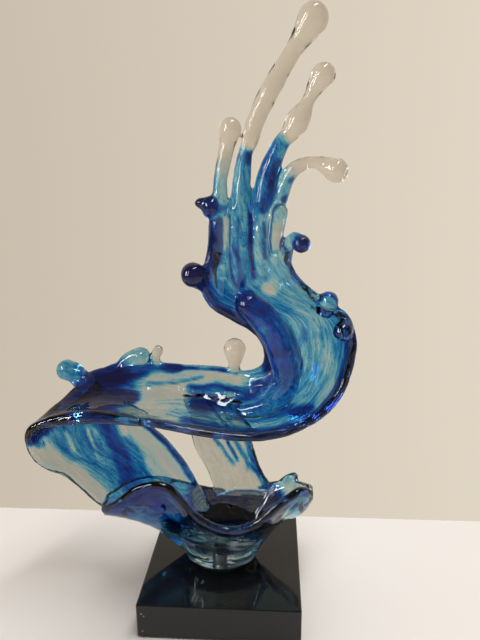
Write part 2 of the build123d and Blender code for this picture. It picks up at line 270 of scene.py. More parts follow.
bowl = bowed(BOWL_STATIONS)
cast_sheet(bowl, BOWL_WALL)

# Under the bowl the foot is solid. Each ring of a sphere is moved to a loop that goes down from the bowl's
# front rim to the sole, up to the back rim and back along the middle of the bowl's wall.
FOOT_BASE = 0.8
FOOT_MIDDLE = -4
FOOT_HALF_LENGTH = 36
FOOT_HALF_DEPTH = 27.5
LEFT_FLANK_SLOPE = 0.87
RIGHT_FLANK_SLOPE = 1.65
LEAST_SOLE = 0.004
LEAST_FLOOR = 0.002
LOOP_STEPS = 24
FOOT_ROWS = np.arange(14, 96)
bpy.ops.object.select_all(action="DESELECT")
bpy.ops.mesh.primitive_uv_sphere_add(
    segments=2 * LOOP_STEPS, ring_count=len(FOOT_ROWS) + 1, radius=1, location=(0, 0, 0)
)
foot = bpy.context.object
loops = []
for inside in bowl[FOOT_ROWS]:
    from_middle = (inside[:, 0].mean() / MM - FOOT_MIDDLE) / FOOT_HALF_LENGTH
    half = max(1 - from_middle**2, LEAST_SOLE) ** 0.5 * FOOT_HALF_DEPTH * MM
    slope = RIGHT_FLANK_SLOPE if from_middle > 0 else LEFT_FLANK_SLOPE
    rise = max(abs(from_middle) - 1, 0) * FOOT_HALF_LENGTH * slope
    base = min(raised((0, 0, FOOT_BASE + rise))[2], inside[:, 2].min() - LEAST_FLOOR)
    front_sole = (inside[0, 0], -half, base)
    back_sole = (inside[-1, 0], half, base)
    corners = np.array([inside[0], front_sole, back_sole, inside[-1]])
    outside = [np.interp(np.linspace(0, 3, LOOP_STEPS), np.arange(4), corners[:, axis]) for axis in range(3)]
    back = inside[::-1][np.linspace(0, BOW_STEPS, LOOP_STEPS).astype(int)]
    loops.append(np.concatenate([np.transpose(outside), back]))
for corner in foot.data.vertices:
    ring = round(np.arccos(np.clip(corner.co.z, -1, 1)) / np.pi * (len(FOOT_ROWS) + 1)) - 1
    turn = round(np.arctan2(corner.co.y, corner.co.x) / np.pi * LOOP_STEPS) % (2 * LOOP_STEPS)
    if 0 <= ring < len(FOOT_ROWS):
        corner.co = Vector(loops[ring][turn])
    else:
        corner.co = Vector(loops[min(max(ring, 0), len(FOOT_ROWS) - 1)].mean(0))
castings.append(foot)

# Wall, shelf and crest
# One long sheet of glass, bent while hot: it leans up out of the bowl, folds over at the left, runs right
# as a trough and curls up into the crest, which is thicker away from its rims. Its stations run from the bowl
# to the crest's top edge.
SHEET_WALL = 8
CREST_WALL = 12
CREST_RUN = slice(199, 217)
CREST_BREADTH = slice(2, -6)
LONG_STATIONS = (
    ((-104, -22, 62), (-66, 4, 43), (-22, 20, 38)),
    ((-120, -22, 73), (-82, 10, 63), (-33, 26, 62)),
    ((-142, -27, 100), (-104, 10, 93), (-54, 28, 98)),
    ((-165, -32, 116), (-127, 5, 115), (-81, 30, 125)),
    ((-174, -36, 133), (-146, 0, 141), (-112, 31, 152)),
    ((-173, -38, 151), (-155, -4, 164), (-138, 30, 177)),
    ((-155, -41, 162), (-135, -2, 166), (-118, 33, 187)),
    ((-113, -42, 169), (-101, 1, 168), (-91, 34, 194)),
    ((-67, -43, 166), (-60, 0, 164), (-50, 32, 190)),
    ((-10, -43, 156), (-11, 1, 156), (-10, 30, 189)),
    ((38, -42, 153), (31, 1, 153), (20, 26, 186)),
    ((77, -37, 164), (64, 6, 166), (38, 20, 194)),
    ((105, -29, 188), (85, 12, 194), (43, 14, 209)),
    ((116, -24, 226), (86, 13, 228), (40, 6, 226)),
    ((112, -20, 252), (76, 12, 250), (30, -2, 241)),
    ((97, -16, 264.5), (55, 9, 260.5), (10, -10, 255)),
    ((80, -13, 275.5), (37, 5, 272), (-5, -16, 267)),
    ((64, -11, 292), (25, 1, 286), (-11, -18, 285)),
    ((52, -8, 322), (23, 0, 317), (-6, -15, 312)),
    ((46, -6, 344), (24, -1, 341), (-3, -15, 338)),
)
wave = bowed(LONG_STATIONS)
cast_sheet(wave, SHEET_WALL)
cast_sheet(wave[CREST_RUN, CREST_BREADTH], CREST_WALL)

# Strut
# A clear sheet that stands on the back rim of the bowl and holds up the shelf. It is drawn out thinner
# towards its top, as three lengths that overlap, each with its first and last rows and its thickness.
STRUT_STATIONS = (
    ((-8, 33, 47), (22, 35, 50), (48, 31, 52)),
    ((-16, 32, 75), (10, 36, 76), (34, 30, 77)),
    ((-30, 30, 108), (-2, 35, 109), (24, 29, 110)),
    ((-42, 17, 172), (-13, 18, 168.5), (14, 16.5, 166.5)),
)
STRUT_LENGTHS = ((0, 29, 7), (27, 31, 5), (28, 36, 3.4))
strut = bowed(STRUT_STATIONS)
for first, last, wall in STRUT_LENGTHS:
    cast_sheet(strut[first:last], wall)

# Flutes, fingers, beads and drops
# Hot glass drawn out of the sheet. Each stem has knots of a place and a radius in millimetres and a depth of
# dye, from its root to the round end, and the fingers go on from the flutes of the crest in clear glass.
STEMS = {
    "left_flute": (
        ((2, -11, 270), 3, 0.5),
        ((1, -13, 296), 7.5, 0.4),
        ((1, -15, 322), 8, 0.36),
        ((2, -15, 346), 7.8, 0.32),
        ((3, -15, 370), 6, 0.28),
    ),
    "tall_flute": (
        ((17, -4, 272), 3, 0.5),
        ((17, -7, 298), 9, 0.5),
        ((17, -8, 330), 10, 0.52),
        ((23, -5, 391), 6.5, 0.4),
    ),
    "second_flute": (
        ((36, 3, 274), 3, 0.42),
        ((37, -2, 300), 9, 0.42),
        ((37, -4, 334), 9, 0.46),
        ((43, -3, 378), 9, 0.52),
        ((54, -3, 402), 7, 0.45),
    ),
    "bent_flute": (
        ((47, 0, 280), 3, 0.3),
        ((47, -3, 304), 6.5, 0.2),
        ((48, -4, 334), 7, 0.16),
        ((57, -4, 368), 6, 0.26),
    ),
    "tall_finger": (
        ((17, -8, 330), 10, 0.52),
        ((23, -5, 391), 6.5, 0.4),
        ((27, -5, 403), 7, 0),
        ((33, -5, 421), 7.8, 0),
        ((46, -4, 446), 8.2, 0),
        ((56, -3.5, 462), 7.2, 0),
        ((63, -3, 473), 7.2, 0),
        ((69, -2.5, 482), 9, 0),
        ((77.5, -2, 495.5), 12.6, 0),
    ),
    "second_finger": (
        ((43, -3, 378), 9, 0.52),
        ((54, -3, 402), 7, 0.36),
        ((60, -3, 408.5), 7.8, 0),
        ((67, -3, 419), 10.3, 0),
        ((75, -2, 434), 6, 0),
        ((80, -2, 444), 7.3, 0),
        ((87, -2, 454), 10, 0),
    ),
    "bent_finger": (
        ((48, -4, 334), 7, 0.16),
        ((57, -4, 368), 6, 0.25),
        ((65, -5, 381), 6.5, 0.04),
        ((79, -8, 386), 5, 0),
        ((90, -10, 383), 7.2, 0),
        ((99, -12, 379), 10.2, 0),
    ),
    "left_finger": (
        ((1, -15, 322), 8, 0.36),
        ((3, -15, 370), 6, 0.22),
        ((6, -15, 386), 6.3, 0.1),
        ((9, -15, 400), 7, 0),
        ((12, -15, 412.5), 9.5, 0),
    ),
    "crest_loop": (((49, -9, 304), 3, 0.2), ((49.5, -13, 322), 5.5, 0.08), ((53, -14, 346), 7, 0.36)),
    "crest_spur": (
        ((2, -15, 350), 5, 0.1),
        ((-4, -16, 350), 9.5, 0.8),
        ((-9, -17, 352.5), 8, 0.9),
        ((-14, -18, 354), 5, 0.93),
    ),
    "bead_left": (((-9, -17, 278), 3, 0.8), ((-15, -21, 285), 6, 0.95), ((-20.5, -25, 294), 11, 0.98)),
    "bead_right": (
        ((58, -9, 292), 5, 0.3),
        ((59.5, -14, 312), 5, 0.25),
        ((64, -18, 324.5), 4.8, 0.3),
        ((71, -22, 320), 7.8, 0.8),
    ),
    "curl_bump": (((91, -12, 257), 8, 0.4), ((94, -14, 264), 9, 0.4), ((95.5, -16, 270), 8.6, 0.42)),
    "curl_bead": (((112, -19, 252), 5, 0.7), ((110, -24, 249), 7, 0.7), ((107, -28, 246), 8.6, 0.68)),
    "inner_roll": (
        ((-4, 9, 156), 5, 0.5),
        ((24, 5, 157), 9, 0.58),
        ((47, 0, 169), 12, 0.58),
        ((60, -5, 192), 13, 0.6),
        ((57, -7, 214), 13, 0.6),
        ((48, -9, 238), 13, 0.62),
        ((37, -10, 255), 13.5, 0.74),
        ((26, -9, 264), 12, 0.9),
    ),
    "roll_web": (
        ((28, 14, 178), 4, 0.7),
        ((46, 9, 183), 7, 0.72),
        ((62, 5, 198), 10, 0.74),
        ((59, 3, 226), 10, 0.7),
        ((45, -2, 248), 10, 0.72),
    ),
    "shelf_lip": (
        ((-164, -40, 158), 3, 0.95),
        ((-150, -41, 163.5), 6, 0.92),
        ((-113, -42, 169), 6.6, 0.85),
        ((-85, -43, 167.5), 5.2, 0.85),
        ((-60, -43, 164.5), 4.2, 0.85),
        ((-30, -43, 160), 3, 0.85),
    ),
    "shelf_ear": (
        ((-139, 22, 168), 8, 0.62),
        ((-146, 27, 177), 9.5, 0.56),
        ((-152, 30, 183), 10, 0.5),
        ((-161, 32, 186), 10.8, 0.46),
    ),
    "shelf_hump": (((-110, 33.3, 189), 4, 0.45), ((-99, 35, 196), 7.5, 0.25), ((-85, 35, 200), 10, 0.3)),
    "shelf_bud": (((-70, 32, 192), 4, 0.2), ((-69, 33, 201), 4.6, 0.06), ((-67, 33, 207.5), 5.8, 0.03)),
    "shelf_drop": (((9, 28, 187), 5, 0.08), ((10, 29, 198), 7, 0.02), ((10, 29, 211), 11, 0)),
    "lip_curl": (((54, 31, 61), 3, 0.3), ((62, 28, 70), 4.5, 0.3), ((70, 24, 76), 4.5, 0.35)),
}
for name, knots in STEMS.items():
    cast_tube([raised(spot) for spot, radius, dye in knots], [radius for spot, radius, dye in knots])
    if not name.endswith(("flute", "web", "lip")):
        spot, radius, dye = knots[-1]
        bpy.ops.object.select_all(action="DESELECT")
        bpy.ops.mesh.primitive_ico_sphere_add(subdivisions=4, radius=radius * MM, location=raised(spot))
        bpy.ops.object.transform_apply()
        castings.append(bpy.context.object)

# The casting
# All the glass is one casting, so the sheets and stems are melted into one skin, which is smoothed and left a
# little lumpy, as hot glass sets.
VOXEL = 1.85
SMOOTHINGS = 5
LUMP_SIZE = 22
LUMP_HEIGHT = 1.6
bpy.ops.object.select_all(action="DESELECT")
for piece in castings:
    piece.select_set(True)
glass = castings[0]
bpy.context.view_layer.objects.active = glass
bpy.ops.object.join()
glass.name = glass.data.name = "glass_wave"
finish_modifier("REMESH", mode="VOXEL", voxel_size=VOXEL * MM)
finish_modifier("SMOOTH", factor=0.5, iterations=SMOOTHINGS)
lumps = bpy.data.textures.new("lumps", "CLOUDS")
lumps.noise_scale = LUMP_SIZE * MM
finish_modifier("DISPLACE", texture=lumps, strength=LUMP_HEIGHT * MM, mid_level=0.5)
bpy.ops.object.shade_smooth()
count = len(glass.data.vertices)
skin = np.empty(count * 3)
glass.data.vertices.foreach_get("co", skin)
skin = skin.reshape(-1, 3)

# How the glass ran at each place of the sheets, as lengths along and across, and how much dye it took
# where nothing more was poured
SHEET_DYE = (
    (bowl, ((0, 0.5), (3, 0.5), (3.8, 0.16), (9, 0.14))),
    (
        wave,
        (
            (0, 0.3), (1.5, 0.14), (4.3, 0.16), (4.7, 0.8), (6.8, 0.85), (7.5, 0.12),
            (9, 0.14), (10.3, 0.4), (12, 0.4), (16, 0.46), (19, 0.48),
        ),
    ),
    (strut, ((0, 0.05), (3, 0.05))),
)
sheet_places, sheet_flow, sheet_ways, sheet_dye, sheet_of = [], [], [], [], []
for places, levels in SHEET_DYE:
    along = np.gradient(places, axis=0)
    across = np.gradient(places, axis=1)
    run = np.cumsum(np.linalg.norm(along, axis=2).mean(1))
    share = np.cumsum(np.linalg.norm(across, axis=2), axis=1)
    along /= np.linalg.norm(along, axis=2, keepdims=True)
    across /= np.linalg.norm(across, axis=2, keepdims=True)
    outward = np.cross(along, across)
    outward /= np.linalg.norm(outward, axis=2, keepdims=True)
    level = np.interp(np.arange(len(places)) / SPAN_STEPS, *zip(*levels))
    run, level = (np.broadcast_to(row[:, None], share.shape) for row in (run, level))
    sheet_places.append(places.reshape(-1, 3))
    sheet_flow.append(np.dstack([run, share, np.zeros_like(share)]).reshape(-1, 3))
    sheet_ways.append(np.concatenate([along, across, outward], axis=2).reshape(-1, 3, 3))
    sheet_dye.append(level.ravel())
    sheet_of.append(np.full(level.size, id(places)))
sheet_places = np.concatenate(sheet_places)
sheet_flow = np.concatenate(sheet_flow)
sheet_ways = np.concatenate(sheet_ways)
sheet_dye = np.concatenate(sheet_dye)
sheet_of = np.concatenate(sheet_of)
tree = kdtree.KDTree(len(sheet_places))
for i, spot in enumerate(sheet_places):
    tree.insert(spot, i)
tree.balance()
nearest = np.array([tree.find(spot)[1] for spot in skin])
off = np.einsum("nij,nj->ni", sheet_ways[nearest], skin - sheet_places[nearest])
flow = sheet_flow[nearest] + off
sheet_gap = np.linalg.norm(off, axis=1) - SHEET_WALL / 2 * MM

# The dye strays as it runs, widely and finely, and the dye of the stems is set at their knots. The seed makes
# it stray the same way in every run.
STRAY_SEED = 1
WIDE_STRAY = (45, 4)
FINE_STRAY = (160, 1.2)
STEM_REACH = 2.5
STEM_ROOM = 10
MELTING = 1.5
noise.seed_set(STRAY_SEED)
stray = []
for spot in skin:
    wide = noise.noise_vector(Vector(spot) * WIDE_STRAY[0]) * WIDE_STRAY[1]
    fine = noise.noise_vector(Vector(spot) * FINE_STRAY[0]) * FINE_STRAY[1]
    stray.append(wide + fine)
stray = np.array(stray) * MM
strayed = skin + stray
stem_gap = np.full(count, 1.0)
stem_dye = np.zeros(count)
drawn = np.zeros(count, bool)
for name, knots in STEMS.items():
    centres = smoothed([raised(spot) for spot, radius, dye in knots])
    levels = smoothed([(radius, dye) for spot, radius, dye in knots])
    for centre, (radius, dye) in zip(centres, levels):
        room = STEM_REACH * radius * MM + STEM_ROOM * MM
        near = np.flatnonzero((np.abs(strayed - centre) < room).all(1))
        gap = np.linalg.norm(strayed[near] - centre, axis=1) - radius * MM
        closer = near[gap < stem_gap[near]]
        stem_gap[closer] = gap[gap < stem_gap[near]]
        stem_dye[closer] = dye
        drawn[closer] = not name.endswith(("flute", "web"))
share = 1 / (1 + np.exp((stem_gap - sheet_gap) / (MELTING * MM)))
dye = sheet_dye[nearest] * (1 - share) + np.clip(stem_dye, 0, 1) * share
held = np.where(drawn, share, 0)

# Dye
# Blue dye was poured into the clear glass as it ran. Each pour is a row of places with a reach in millimetres
# and a depth of dye. Most are on a sheet, by station and by share of the way across from the front rim,
# and the last ones are free places by x, y and height.
POURS = (
    (bowl, ((0, 0.3), (1.2, 0), (1.9, 0.05), (2.3, 0.08)), 17, 0.72),
    (bowl, ((2.3, 0.14), (2.8, 0.14), (3.4, 0.18)), 13, 0.6),
    (bowl, ((2.2, 0.26), (2.8, 0.3), (3.3, 0.32)), 9, 0.42),
    (bowl, ((3.0, 0.14), (3.6, 0.2), (4.1, 0.18)), 4, 0.36),
    (bowl, ((4.0, 0.95), (4.8, 0.88), (6.2, 0.88)), 24, 1.12),
    (bowl, ((3.6, 0.6), (4.8, 0.62), (6.0, 0.62)), 9, 0.66),
    (bowl, ((2.6, 0), (3.2, 0), (4.0, 0), (5.0, 0), (6.0, 0), (7.0, 0)), 5, 0.95),
    (bowl, ((7.0, 0), (8.0, 0), (8.6, 0)), 4, 0.75),
    (bowl, ((7.4, 0.05), (8.1, 0.2), (8.8, 0.42)), 7, 0.5),
    (bowl, ((7.9, 0.14), (8.4, 0.2)), 3, 0.72),
    (bowl, ((6.6, 0.22), (7.3, 0.28), (7.8, 0.32)), 6, 0.28),
    (bowl, ((4.4, 0.3), (5.2, 0.33), (6.0, 0.3)), 7, 0.22),
    (wave, ((4.4, 0.3), (3.3, 0.35), (2.2, 0.3), (1.6, 0.28), (0.4, 0.3)), 14, 0.47),
    (wave, ((4.3, 0.5), (3.3, 0.5), (2.3, 0.42), (1.2, 0.4)), 12, 0.5),
    (wave, ((2.8, 0.75), (1.7, 0.6), (0.8, 0.55)), 8, 0.54),
    (wave, ((4.2, 0.74), (3.6, 0.74), (2.7, 0.64), (1.5, 0.42), (0.4, 0.45)), 9, 0.74),
    (wave, ((3.7, 0.93), (2.4, 0.92), (1.4, 0.9)), 8, 0.1),
    (wave, ((3.9, 1), (2.6, 1), (1.0, 1)), 1.7, 0.95),
    (wave, ((3.92, 0.38), (3.2, 0.32)), 1.5, 0.05),
    (wave, ((3.67, 0.57), (2.9, 0.45)), 1.2, 0.05),
    (wave, ((3.2, 0.5), (2.6, 0.4), (2.2, 0.36)), 1.2, 0.3),
    (wave, ((4.2, 0.04), (3.0, 0.07), (2.0, 0.05), (1.1, 0.02)), 10, 0.09),
    (wave, ((4.25, 0.07), (4.0, 0.1)), 4, 0.5),
    (wave, ((4.7, 0), (4.7, 0.5), (4.6, 0.95)), 8, 0.9),
    (wave, ((5.2, 0), (5.2, 0.45), (5.8, 0.75), (6.6, 0.9), (7.2, 0.98)), 13, 0.91),
    (wave, ((5.7, 0.2), (6.2, 0.5), (7.0, 0.5), (7.2, 0.5)), 13, 0.85),
    (wave, ((7.8, 0.6), (8.3, 0.74), (8.9, 0.86), (9.5, 0.93)), 12, 0.09),
    (wave, ((7.1, 0.9), (7.4, 0.95), (8.1, 1)), 5, 0.72),
    (wave, ((7.5, 0.75), (8.1, 0.84), (8.7, 0.92)), 2, 0.46),
    (wave, ((7.9, 0.5), (8.4, 0.58), (8.9, 0.66)), 1.2, 0.4),
    (wave, ((8.3, 0.36), (8.8, 0.4), (9.1, 0.38)), 6, 0.36),
    (wave, ((8.8, 0.62), (9.1, 0.68), (9.5, 0.65), (10.0, 0.55)), 16, 0.72),
    (wave, ((8.5, 0.77), (9.0, 0.76), (9.7, 0.74)), 7, 0.76),
    (wave, ((11.4, 0.68), (10.6, 0.82), (9.7, 0.8), (9.1, 0.8)), 6, 0.64),
    (wave, ((10.4, 0.45), (10.9, 0.3), (11.2, 0.15)), 8, 0.76),
    (wave, ((8.6, 0.2), (9.4, 0.15), (10.0, 0.1), (10.6, 0.06)), 8, 0.72),
    (wave, ((10.3, 0.28), (10.6, 0.26)), 6, 0.42),
    (wave, ((7.6, 0), (8.2, 0)), 4, 0.66),
    (wave, ((12.8, 0.45), (12.5, 0.32), (12.2, 0.15), (11.8, 0.18)), 9, 0.26),
    (wave, ((13.7, 0.1), (13.0, 0.08), (12.4, 0.07)), 8, 0.54),
    (wave, ((16.8, 0.06), (15.1, 0.25), (13.8, 0.4)), 14, 0.32),
    (wave, ((8.2, 0), (9.0, 0), (10.0, 0), (11.0, 0), (12.0, 0), (13.0, 0), (13.6, 0)), 6, 0.98),
    (wave, ((13.6, 0), (14.7, 0), (15.6, 0)), 2.4, 0.8),
    (wave, ((15.9, 0), (16.5, 0), (17.4, 0)), 4, 0.34),
    (wave, ((15.7, 0.78), (14.7, 0.86), (13.6, 0.93), (12.4, 0.95), (11.6, 0.88)), 13, 0.74),
    (wave, ((15.6, 1), (14.0, 1), (13.0, 1), (12.0, 1), (11.4, 0.98)), 5, 0.95),
    (wave, ((12.6, 0.78), (12.2, 0.68), (11.8, 0.64), (11.4, 0.7)), 2.6, 0.96),
    (wave, ((17.2, 1), (16.4, 1), (15.6, 1), (15.0, 1)), 5, 0.97),
    (wave, ((16.8, 0.9), (16.2, 0.86), (15.8, 0.82)), 9, 0.55),
    (wave, ((16.5, 0.33), (16.2, 0.34)), 6, 0.06),
    (wave, ((19.0, 0.87), (18.0, 0.86)), 3.2, 0.1),
    (wave, ((17.8, 0.87), (17.3, 0.86)), 4, 0.26),
    (wave, ((18.6, 0.27), (17.2, 0.3)), 3.2, 0.24),
    (wave, ((19.0, 1), (18.0, 1), (17.3, 1)), 4.2, 0.98),
    (wave, ((19.0, 0.06), (17.8, 0.1)), 5, 0.12),
    (wave, ((19.0, 0.75), (17.9, 0.72), (17.4, 0.66), (16.8, 0.6)), 1.7, 0.9),
    (wave, ((19.0, 0.45), (17.9, 0.42), (17.1, 0.42)), 2.6, 0.92),
    (wave, ((18.7, 0.1), (17.6, 0.18)), 1.8, 0.86),
    (wave, ((7.8, 1), (8.8, 1), (9.7, 1)), 1.6, 0.85),
    (strut, ((3.0, 1), (1.5, 1), (0.2, 1)), 4, 0.62),
    (strut, ((3.0, 0.35), (2.2, 0.55), (1.4, 0.62)), 1.4, 0.88),
    (strut, ((2.8, 0.6), (1.8, 0.75), (1.0, 0.9)), 1.6, 0.62),
    (strut, ((2.3, 0.25), (1.9, 0.4), (1.2, 0.5)), 1.2, 0.9),
    (strut, ((2.9, 0.85), (2.2, 0.7), (1.6, 0.86), (1.0, 0.75)), 1.5, 0.52),
    (None, ((-36, -26, 12), (-8, -30, 8), (26, -26, 14)), 14, 0.1),
    (None, ((-34, -24, 18), (-24, -28, 16)), 4, 0.5),
    (None, ((12, -27, 16), (28, -20, 22)), 4, 0.56),
    (None, ((28, -10, 392), (28, -10, 388)), 4.5, 0.9),
    (None, ((53, -11, 386), (44, -12, 362), (40, -13, 348)), 4.5, 0.86),
    (None, ((-4, -6, 296), (-4, -7, 318), (-4, -8, 336)), 3.4, 0.97),
    (None, ((8, -20, 316), (8, -21, 330), (8, -21, 344)), 4, 0.12),
    (None, ((-3.5, -16, 358), (-3, -17, 370), (-0.5, -17, 388)), 2.4, 0.9),
    (None, ((86, -20, 271), (90, -21, 277), (96, -21, 279), (102, -20, 274), (105, -19, 266)), 2.4, 0.95),
    (None, ((64, -11, 373), (62, -10, 371)), 3, 0.92),
    (None, ((56, -10, 357), (56, -10, 355)), 2.6, 0.92),
    (None, ((44.5, -15, 312), (44, -16, 330), (46, -17, 348), (52, -17, 354), (58, -15, 352)), 2.2, 0.9),
    (None, ((59.5, -14, 349), (58, -14, 338), (55.5, -13, 322), (54, -11, 308)), 1.8, 0.85),
)
SHEET_REACH = 14
POUR_STEPS = 24
FULL_STRAY_REACH = 7
POUR_MARGIN = 1.3
POUR_END = 1.25
POUR_FADE = 0.5
on_sheet = skin - off[:, 2:] * sheet_ways[nearest, 2]
on_sheet = np.where((sheet_gap < SHEET_REACH * MM)[:, None], on_sheet, skin)
for places, row, reach, depth in POURS:
    line = []
    for start, stop in zip(row, row[1:]):
        for t in np.linspace(0, 1, POUR_STEPS):
            here = np.array(start) * (1 - t) + np.array(stop) * t
            if places is None:
                line.append(raised(here))
            else:
                here = here * (SPAN_STEPS, BOW_STEPS)
                i, j = np.minimum(here.astype(int), np.subtract(places.shape[:2], 2))
                u, v = here - (i, j)
                near, far = (places[k, j] * (1 - v) + places[k, j + 1] * v for k in (i, i + 1))
                line.append(near * (1 - u) + far * u)
    line = np.array(line)
    spots = (skin if places is None else on_sheet) + stray * min(1, reach / FULL_STRAY_REACH)
    margin = POUR_MARGIN * reach * MM
    near = np.flatnonzero(((spots > line.min(0) - margin) & (spots < line.max(0) + margin)).all(1))
    gap = np.min([np.linalg.norm(spots[near] - spot, axis=1) for spot in line], axis=0) / (reach * MM)
    cover = np.clip((POUR_END - gap) / POUR_FADE, 0, 1)
    if places is not None:
        cover *= (1 - held[near]) * (sheet_of[nearest[near]] == id(places))
    dye[near] += (depth - dye[near]) * cover

# The dye is softened once over the next places of the skin, and the flow three times
FLOW_SOFTENINGS = 3
edges = np.empty(len(glass.data.edges) * 2, int)
glass.data.edges.foreach_get("vertices", edges)
edges = edges.reshape(-1, 2)
degree = np.bincount(edges.ravel(), minlength=count)
spread = np.column_stack([dye, flow])
for step in range(FLOW_SOFTENINGS):
    for column in range(1 if step else 0, spread.shape[1]):
        value = spread[:, column]
        total = np.bincount(edges[:, 0], value[edges[:, 1]], count)
        total += np.bincount(edges[:, 1], value[edges[:, 0]], count)
        spread[:, column] = (value + total / degree) / 2
glass.data.attributes.new("dye", "FLOAT", "POINT").data.foreach_set("value", spread[:, 0].astype(np.float32))
flow = np.ascontiguousarray(spread[:, 1:], np.float32)
glass.data.attributes.new("flow", "FLOAT_VECTOR", "POINT").data.foreach_set("vector", flow.ravel())

# The glass itself is clear. Its colour goes by the depth of the dye, from clear through cyan, cobalt and navy
# to the dark grey of the bowl's back. The dye is drawn out into wisps and threads along the flow, and the
# face of the glass ripples with them.
DYE_TONES = (
    (0.0, (0.78, 0.73, 0.67, 1)),
    (0.08, (0.56, 0.60, 0.60, 1)),
    (0.18, (0.46, 0.62, 0.66, 1)),
    (0.34, (0.19, 0.54, 0.69, 1)),
    (0.52, (0.014, 0.25, 0.58, 1)),
    (0.70, (0.006, 0.055, 0.44, 1)),
    (0.86, (0.012, 0.02, 0.15, 1)),
    (1.0, (0.008, 0.009, 0.06, 1)),
    (1.2, (0.08, 0.09, 0.1, 1)),
)
GREY_DEPTH = DYE_TONES[-1][0]
dyed_glass = bpy.data.materials.new("dyed_glass")
dyed_glass.use_nodes = True
nodes, links = dyed_glass.node_tree.nodes, dyed_glass.node_tree.links
shader = nodes["Principled BSDF"]
poured = nodes.new("ShaderNodeAttribute")
poured.attribute_name = "dye"
ran = nodes.new("ShaderNodeAttribute")
ran.attribute_name = "flow"
drawn_out = nodes.new("ShaderNodeMapping")
drawn_out.inputs["Scale"].default_value = (17, 95, 55)
links.new(ran.outputs["Vector"], drawn_out.inputs["Vector"])
wisps = nodes.new("ShaderNodeTexNoise")
wisps.inputs["Scale"].default_value = 1
wisps.inputs["Detail"].default_value = 5
wisps.inputs["Roughness"].default_value = 0.6
wisps.inputs["Distortion"].default_value = 1.7
links.new(drawn_out.outputs["Vector"], wisps.inputs["Vector"])
swing = nodes.new("ShaderNodeMapRange")
swing.inputs["From Min"].default_value = 0.32
swing.inputs["From Max"].default_value = 0.68
swing.inputs["To Min"].default_value = -0.2
swing.inputs["To Max"].default_value = 0.2
links.new(wisps.outputs["Fac"], swing.inputs["Value"])
threads = nodes.new("ShaderNodeTexNoise")
threads.inputs["Scale"].default_value = 1.3
threads.inputs["Detail"].default_value = 2
threads.inputs["Distortion"].default_value = 3
links.new(drawn_out.outputs["Vector"], threads.inputs["Vector"])
off_middle = nodes.new("ShaderNodeMath")
off_middle.operation = "SUBTRACT"
off_middle.inputs[1].default_value = 0.5
links.new(threads.outputs["Fac"], off_middle.inputs[0])
off_line = nodes.new("ShaderNodeMath")
off_line.operation = "ABSOLUTE"
links.new(off_middle.outputs["Value"], off_line.inputs[0])
thread = nodes.new("ShaderNodeMapRange")
thread.inputs["From Max"].default_value = 0.025
thread.inputs["To Min"].default_value = 0.28
thread.inputs["To Max"].default_value = 0
links.new(off_line.outputs["Value"], thread.inputs["Value"])
drift = nodes.new("ShaderNodeMath")
links.new(swing.outputs["Result"], drift.inputs[0])
links.new(thread.outputs["Result"], drift.inputs[1])
dyed = nodes.new("ShaderNodeMapRange")
dyed.inputs["From Min"].default_value = 0.02
dyed.inputs["From Max"].default_value = 0.2
links.new(poured.outputs["Fac"], dyed.inputs["Value"])
depth = nodes.new("ShaderNodeMath")
depth.operation = "MULTIPLY_ADD"
links.new(drift.outputs["Value"], depth.inputs[0])
links.new(dyed.outputs["Result"], depth.inputs[1])
links.new(poured.outputs["Fac"], depth.inputs[2])
tint = nodes.new("ShaderNodeValToRGB")
for position, colour in DYE_TONES[1:-1]:
    tint.color_ramp.elements.new(position / GREY_DEPTH)
for stop, (position, colour) in zip(tint.color_ramp.elements, DYE_TONES):
    stop.position = position / GREY_DEPTH
    stop.color = colour
whole = nodes.new("ShaderNodeMapRange")
whole.inputs["From Max"].default_value = GREY_DEPTH
# Wisps and threads alone don't turn navy into dark grey, only a deeper pour does
deepest = nodes.new("ShaderNodeMapRange")
deepest.inputs["From Min"].default_value = 1.0
deepest.inputs["From Max"].default_value = 1.1
deepest.inputs["To Min"].default_value = 0.96
deepest.inputs["To Max"].default_value = GREY_DEPTH
links.new(poured.outputs["Fac"], deepest.inputs["Value"])
held_back = nodes.new("ShaderNodeMath")
held_back.operation = "MINIMUM"
links.new(depth.outputs["Value"], held_back.inputs[0])
links.new(deepest.outputs["Result"], held_back.inputs[1])
links.new(held_back.outputs["Value"], whole.inputs["Value"])
links.new(whole.outputs["Result"], tint.inputs["Fac"])
links.new(tint.outputs["Color"], shader.inputs["Base Color"])
ripple = nodes.new("ShaderNodeTexNoise")
ripple.inputs["Scale"].default_value = 0.9
ripple.inputs["Detail"].default_value = 1
links.new(drawn_out.outputs["Vector"], ripple.inputs["Vector"])
ripples = nodes.new("ShaderNodeBump")
ripples.inputs["Strength"].default_value = 0.7
ripples.inputs["Distance"].default_value = 0.0012
links.new(ripple.outputs["Fac"], ripples.inputs["Height"])
links.new(ripples.outputs["Normal"], shader.inputs["Normal"])
shader.inputs["Transmission Weight"].default_value = 1
shader.inputs["Roughness"].default_value = 0.02
shader.inputs["IOR"].default_value = 1.45
glass.data.materials.clear()
glass.data.materials.append(dyed_glass)
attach(glass, "root")
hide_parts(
    "foot_bowl", "riser_wall", "wave_shelf", "wave_crest", "rear_strut",
    "finger_tall", "finger_second", "finger_bent", "finger_left", "crest_loop", "crest_spur",
    "bead_left", "bead_right", "curl_bump", "curl_bead", "inner_roll",
    "shelf_ear", "shelf_hump", "shelf_bud", "shelf_drop", "lip_curl",
)

